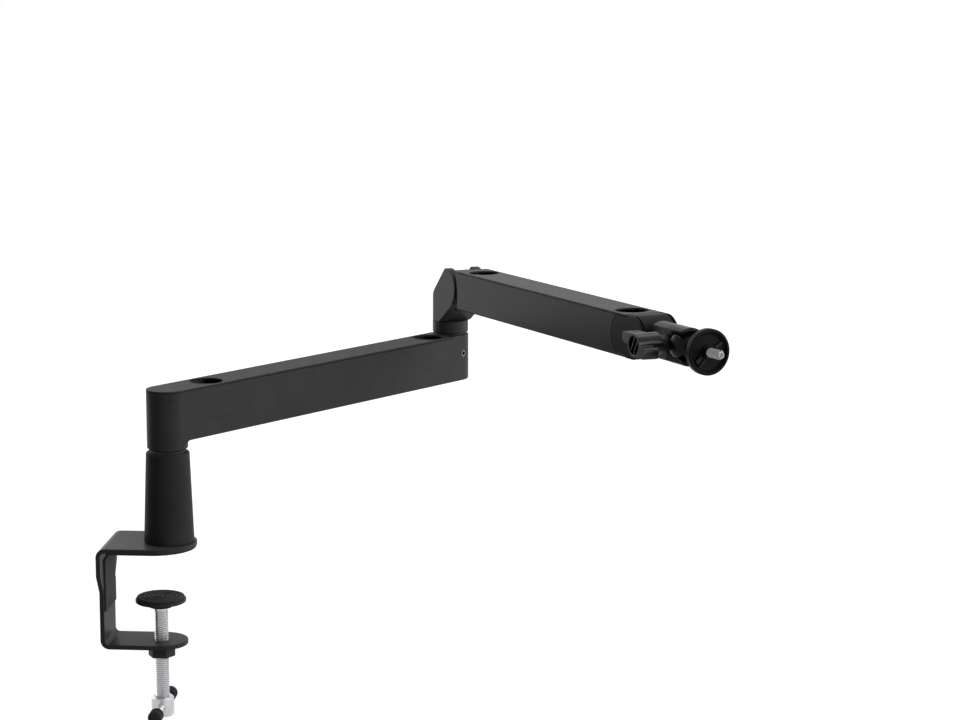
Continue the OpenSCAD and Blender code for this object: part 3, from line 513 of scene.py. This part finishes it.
# The upper arm's channel is shallower. Its open end is milled round to clear the turret, and a
# steel tongue, screwed to its floor, swings on the tilt pin between two friction rings.
ax = Vector(joints["stud_spin"]["axis"])
up = Vector(joints["upper_lid_lift"]["axis"])
upper_yaw = atan2(ax.y, ax.x)
upper = Matrix((ax, up.cross(ax), up)).transposed().to_4x4()
upper.translation = Vector(joints["elbow_tilt"]["pos_m"]) * 1000
# The beam's coat is toned darker than the lower arm's, though both are the same black coat: painted
# shade on the arm's near side.
upper_coat_painted_shade = powder_coat("upper arm powder coat", 0.0345, 0.38, along=upper_yaw)
dress("upper_beam", upper_coat_painted_shade, 0.3)
dress("hinge_tongue", turret_coat, 0.4)
dress("tongue_screws", oxide, 0.15)
dress("tilt_washers", ring_plastic)
dress("upper_magnets", nickel, 0.15)


# A die cut rubber shutter is glued to the front of the tongue's step. It closes the channel
# behind the first cable hole, so that no cable strays into the hinge.
def rounded(bm, corners, radius, segments):
    """Rounds the corners of a flat outline."""
    bmesh.ops.bevel(bm, geom=corners, offset=radius, offset_type="OFFSET", segments=segments,
                    profile=0.5, affect="VERTICES", clamp_overlap=True, material=-1)


shutter_x, shutter_t, shutter_half = 22.1, 1.0, 11.9
shutter_low, shutter_top = -2.8, 13.55
shutter = bmesh.new()
corners = [shutter.verts.new((shutter_x, y, z)) for y, z in (
    (-shutter_half, shutter_low), (shutter_half, shutter_low),
    (shutter_half, shutter_top), (-shutter_half, shutter_top))]
shutter.faces.new(corners)
rounded(shutter, corners, 1.2, 4)
front = bmesh.ops.extrude_face_region(shutter, geom=shutter.faces[:])["geom"]
bmesh.ops.translate(shutter, vec=(shutter_t, 0, 0), verts=of_kind(bmesh.types.BMVert, front))
soften(shutter, 0.2, segments=2)
fit("channel_shutter", shutter, upper, rubber("shutter rubber", 0.01), "upper_arm", "black_rubber")


# The upper arm's cover is a like plate with two cable holes, cut round at the elbow and square
# at the nose. Its own steel discs and the magnets below hold it down.
# The cover's coat is toned near twice as light as the beam's, though both are the same black coat:
# painted light on the arm's top, which faces the overhead box.
upper_lid_coat_painted_light = powder_coat("upper cover powder coat", 0.065, 0.46, sheen=0.045,
                             along=upper_yaw)
dress("upper_cover", upper_lid_coat_painted_light, 0.12)
dress("upper_keepers", zinc, 0.1)


# The nose is a die casting that plugs the channel. A flat moulded cap on each side hides its
# screws, darker and smoother than the coated metal.
dress("tip_block", powder_coat("nose powder coat", 0.025, 0.4, sheen=0.015), 0.3)
dress("tip_caps", moulded("side cap plastic", (0.006, 0.006, 0.0058), 0.4, sheen=0.04), 0.3)


# The head: a barrel with a flat near side, and a cup that holds the ball. Cup, ball and stem
# are enamelled in gloss black over a turned surface. A brass shoe, pressed on by the knob's
# steel screw, grips the ball.
def enamel(name, tone, roughness):
    """Gloss paint with a little orange peel, under a clear coat."""
    paint = Finish(name, Specular_IOR_Level=0.08, Coat_Weight=0.05, Coat_Roughness=0.08)
    peel = paint.noise(320.0)
    dust = paint.noise(2400.0, detail=1.0)
    paint.feed("Base Color", paint.blend(dust, shade(tone, 0.7, 0.06), shade(tone, 1.3, 0.06)))
    paint.feed("Roughness", peel * 0.1 + dust * 0.05 + (roughness - 0.07))
    paint.relief(peel, 0.00003)
    return paint.material


gloss_black = enamel("gloss black enamel", 0.006, 0.24)
dress("head_barrel", powder_coat("barrel powder coat", 0.06, 0.4, sheen=0.1), 0.4)
dress("ball_cup", gloss_black, 0.3)
dress("ball", gloss_black)
dress("ball_stem", gloss_black, 0.3)
dress("ball_shoe", plated_steel("turned brass", (0.62, 0.42, 0.16), 0.3), 0.2)
dress("knob_screw", zinc)


# The locking knob is moulded nylon: a round hub, two shorter wings for the fingers, and a round
# pocket with two ribs in its end. The corners are well rounded for grip.
def edges_at(points):
    """Each edge that ends at one of these vertices, once."""
    return list(dict.fromkeys(e for v in points for e in v.link_edges))


knob_x, knob_y, knob_z = 326.45, -13.6, 0.6
knob_len, hub_r, bolt_r = 18.5, 8.2, 2.8
wing_len, wing_reach, wing_foot, wing_draft = 10.5, 15.5, 0.4, 0.97
pocket_r, pocket_deep = 6.4, 3.0
rib_len, rib_w, rib_h, rib_offset, rib_turn = 12.2, 1, pocket_deep - 0.5, 2.1, radians(62)
wing_z = knob_len - wing_len
side = [(-wing_reach, wing_foot), (-hub_r * cos(radians(3)), wing_foot)]
side += [(hub_r * cos(a), hub_r * sin(a)) for a in (radians(t) for t in range(193, 270, 11))]
side += [(0, -hub_r), (wing_reach, -hub_r)]
grip_outline = side + [(-x, -y) for x, y in side]
# The grip's outline is drawn out to the knob's end, where the pocket is sunk in a new face.
# The ribs stand in the pocket, and the plain hub is turned last.
knob = bmesh.new()
knob.faces.new([knob.verts.new((x, y, wing_z)) for x, y in grip_outline])
wing_corners = [v for v in knob.verts if abs(v.co.x) > wing_reach - 0.1]
roots = [v for v in knob.verts if abs(v.co.y) < wing_foot + 0.1 and v not in wing_corners]
rounded(knob, wing_corners, 2.4, 6)
rounded(knob, roots, 1.2, 6)
end = bmesh.ops.extrude_face_region(knob, geom=knob.faces[:])["geom"]
end_points = of_kind(bmesh.types.BMVert, end)
bmesh.ops.translate(knob, vec=(0, 0, wing_len), verts=end_points)
bmesh.ops.scale(knob, vec=(wing_draft, wing_draft, 1), verts=end_points)
bmesh.ops.delete(knob, geom=of_kind(bmesh.types.BMFace, end), context="FACES_ONLY")
mouth = bmesh.ops.create_circle(knob, cap_ends=False, radius=pocket_r, segments=48,
                                matrix=Matrix.Translation((0, 0, knob_len)))["verts"]
pocket_edge = edges_at(mouth)
rim = [e for e in knob.edges if e.is_boundary]
bmesh.ops.triangle_fill(knob, edges=rim + pocket_edge, use_beauty=True)
floor_edge = grown(knob, pocket_edge, (0, 0, -pocket_deep))
bmesh.ops.holes_fill(knob, edges=floor_edge, sides=0)
bmesh.ops.recalc_face_normals(knob, faces=knob.faces)
soften(knob, 0.3, segments=2, chosen=pocket_edge)
outer = [e for e in knob.edges if all(hypot(v.co.x, v.co.y) > pocket_r + 0.5 for v in e.verts)]
soften(knob, 0.9, segments=4, sharp=50, chosen=outer)
for offset in (-rib_offset, rib_offset):
    rib = bmesh.ops.create_cube(knob, size=1)["verts"]
    bmesh.ops.scale(knob, vec=(rib_len, rib_w, rib_h), verts=rib)
    bmesh.ops.translate(knob, vec=(0, offset, knob_len - pocket_deep / 2 - 0.3), verts=rib)
    bmesh.ops.rotate(knob, cent=(0, 0, 0), matrix=Matrix.Rotation(rib_turn, 3, "Z"), verts=rib)
    soften(knob, 0.2, segments=2, sharp=50, chosen=edges_at(rib))
turn(knob, [(bolt_r, 0), (hub_r - 0.9, 0), (hub_r - 0.3, 0.25), (hub_r - 0.05, 0.9),
            (hub_r - 0.05, wing_z + 2), (bolt_r, wing_z + 2), (bolt_r, 0)],
     steps=64)
on_knob = upper @ Matrix.Translation((knob_x, knob_y, knob_z)) @ Matrix.Rotation(pi / 2, 4, "X")
knob_nylon = moulded("knob nylon", (0.009, 0.009, 0.0092), 0.28, sheen=0.22, grain=2600.0,
                     depth=0.000002)
fit("winged_knob", knob, on_knob, knob_nylon, "knob", "knob_plastic", "locking_knob")


# The mounting plate is a turned steel dish with a thin rim, three short bars and a boss in the
# middle.
# It is sprayed satin black, bars and dish alike.
plate_x, plate_r, plate_h = 365.45, 15.7, 6.2
back_chamfer, rim_chamfer = 1, 0.6
dish_r, dish_z, dish_slope = 13.5, 3.6, 1.8
post_r, post_top = 5.0, 5.0
shank_r, shank_z = 2.5, 1.2
dish = bmesh.new()
turn(dish, [(0, 0), (plate_r - back_chamfer, 0), (plate_r, back_chamfer),
            (plate_r, plate_h - rim_chamfer), (plate_r - rim_chamfer, plate_h), (dish_r, plate_h),
            (dish_r, plate_h - 1), (dish_r - dish_slope, dish_z), (post_r, dish_z),
            (post_r, post_top), (shank_r, post_top), (shank_r, shank_z), (0, shank_z)],
     steps=96)
soften(dish, 0.3, sharp=24)
on_plate = upper @ Matrix.Translation((plate_x, 0, 0)) @ Matrix.Rotation(pi / 2, 4, "Y")
plate_grain = {"grain": 1400.0, "depth": 0.00002}
# The plate's coat is toned near black: the coat's own black, with painted shade for the recessed
# dish. The bars' coat is toned lighter: a painted highlight on the bars, which stand up into the
# light.
plate_black_and_painted_shade = powder_coat("plate satin black", 0.0045, 0.34, sheen=0.05, **plate_grain)
rib_coat_painted_highlight = powder_coat("rib satin black", 0.03, 0.36, sheen=0.06, **plate_grain)
fit("dished_plate", dish, on_plate, plate_black_and_painted_shade, "mic_end", "plate_black", "mic_plate")
dress("plate_ribs", rib_coat_painted_highlight, 0.25)


# The stud is a nickel plated steel screw, 1/4 inch with 20 threads to the inch, pressed in the
# plate. Its tip is chamfered and centre drilled.
stud_r, stud_root, stud_pitch, stud_top = 3.175, 2.62, 1.27, 20.6
thread_low, thread_high = 6.0, stud_top - 0.3
collar_low, collar_high, runout_end = 5.6, 6.9, 7.4
drill_r, drill_deep = 1.4, 0.8
stud = bmesh.new()
cut_thread(stud, stud_root, stud_r, stud_pitch, thread_low, thread_high, steps=32)
chamfer_z, chamfer_slope = stud_top - 1.5, 0.55
for point in stud.verts:
    allowed = stud_r - max(0, point.co.z - chamfer_z) * chamfer_slope
    reach = hypot(point.co.x, point.co.y)
    if reach > allowed:
        point.co.x *= allowed / reach
        point.co.y *= allowed / reach
turn(stud, [(0, shank_z), (shank_r - 0.3, shank_z), (shank_r, shank_z + 0.3),
            (shank_r, collar_low), (stud_r, collar_low), (stud_r, collar_high),
            (stud_root, runout_end), (stud_root, stud_top - 1), (stud_root - 0.5, stud_top),
            (drill_r, stud_top), (0.5, stud_top - drill_deep), (0, stud_top - drill_deep)],
     steps=48)
stud_plate = plated_steel("stud nickel", (0.23, 0.222, 0.214), 0.25, grain=1600.0)
fit("threaded_stud", stud, on_plate, stud_plate, "mic_end", "plated", "mic_stud")


# The studio: a plain pale floor and backdrop, and four soft boxes, one overhead, a key light at
# the front right and one beyond each side. The camera looks slightly down, from the front.
floor_z, floor_half = -0.155, 6
ground = bmesh.new()
bmesh.ops.create_grid(ground, x_segments=1, y_segments=1, size=floor_half)
bmesh.ops.translate(ground, vec=(0, 0, floor_z), verts=ground.verts)
floor_mesh = bpy.data.meshes.new("floor")
ground.to_mesh(floor_mesh)
ground.free()
floor = bpy.data.objects.new("floor", floor_mesh)
bpy.context.scene.collection.objects.link(floor)


def white_to_the_eye(finish, lit, glow):
    """Leaves lit to light the scene, and shows glow where the camera or a mirror looks."""
    rays = ("Is Camera Ray", "Is Glossy Ray", "Is Transmission Ray")
    seen = [finish.node("LightPath", {}, {}, ray) for ray in rays]
    either = (seen[0] + seen[1] + seen[2]).kept_in_range()
    return finish.node("MixShader", {}, {0: either, 1: lit, 2: glow}, "Shader")


paper_grey = (0.28, 0.28, 0.28, 1)
paper = Finish("studio paper", Roughness=1.0, Specular_IOR_Level=0.0, Base_Color=paper_grey)
matte = Wire(paper, paper.shader.outputs["BSDF"])
under_arm = (0.15, 0.05, floor_z)
away = paper.node("VectorMath", {"operation": "DISTANCE"}, {0: paper.place, 1: under_arm}, "Value")
# Away from the arm the paper glows up to white. Near the arm it glows less, a painted shade under the
# arm, round the soft shadow that the arm casts on the matte paper.
near_glow, far_glow = 0.8, 1.16
glow = (away * 0.7 - 0.25).kept_in_range() * (far_glow - near_glow) + near_glow
paper_glow = paper.node("Emission", {}, {"Strength": glow}, "Emission")
whole = white_to_the_eye(paper, matte, paper.node("AddShader", {}, {0: matte, 1: paper_glow}, "Shader"))
paper.tree.links.new(whole.socket, paper.tree.nodes["Material Output"].inputs["Surface"])
floor_mesh.materials.append(paper.material)

stand = (0.32969, -1.66668, 0.42348)
look = Vector((-0.0642, 0.9836, -0.1686)).normalized()
right = look.cross(Vector((0, 0, 1))).normalized()
sensor_mm, lens_mm, roll = 36, 91.32, radians(0.156)
camera = bpy.data.objects.new("camera", bpy.data.cameras.new("camera"))
camera.data.sensor_width = sensor_mm
camera.data.lens = lens_mm
camera.matrix_world = Matrix((right, right.cross(look), -look)).transposed().to_4x4()
camera.rotation_euler.rotate_axis("Z", roll)
camera.location = stand
bpy.context.scene.collection.objects.link(camera)
bpy.context.scene.camera = camera


def softbox(name, at, aim, size, power):
    """A rectangular soft box, in metres and watts, pointed at a place."""
    light = bpy.data.lights.new(name, "AREA")
    light.shape = "RECTANGLE"
    light.size, light.size_y = size
    light.energy = power
    box = bpy.data.objects.new(name, light)
    box.location = at
    box.rotation_mode = "QUATERNION"
    box.rotation_quaternion = (Vector(aim) - Vector(at)).to_track_quat("-Z", "Y")
    bpy.context.scene.collection.objects.link(box)


softbox("overhead", (0.2, 0.4, 1.7), (0.2, 0.1, 0.0), (1.8, 1.4), 18)
softbox("key_right", (2.0, -0.9, 0.6), (0.2, 0.1, 0.1), (1.0, 1.0), 21)
softbox("side_right", (1.3, 0.55, 0.25), (0.15, 0.2, 0.1), (1.0, 1.0), 8)
softbox("side_left", (-0.55, 0.6, 0.3), (0.2, 0.2, 0.15), (1.1, 1.1), 4)
world = bpy.data.worlds.new("room")
bpy.context.scene.world = world
room = Finish("room", world, Color=(1, 1, 1, 1), Strength=0.05)
dim = Wire(room, room.shader.outputs["Background"])
backdrop = room.node("Background", {}, {"Color": (1, 1, 1, 1), "Strength": 1.0}, "Background")
shown = white_to_the_eye(room, dim, backdrop)
room.tree.links.new(shown.socket, room.tree.nodes["World Output"].inputs["Surface"])
bpy.context.scene.view_settings.view_transform = "Standard"
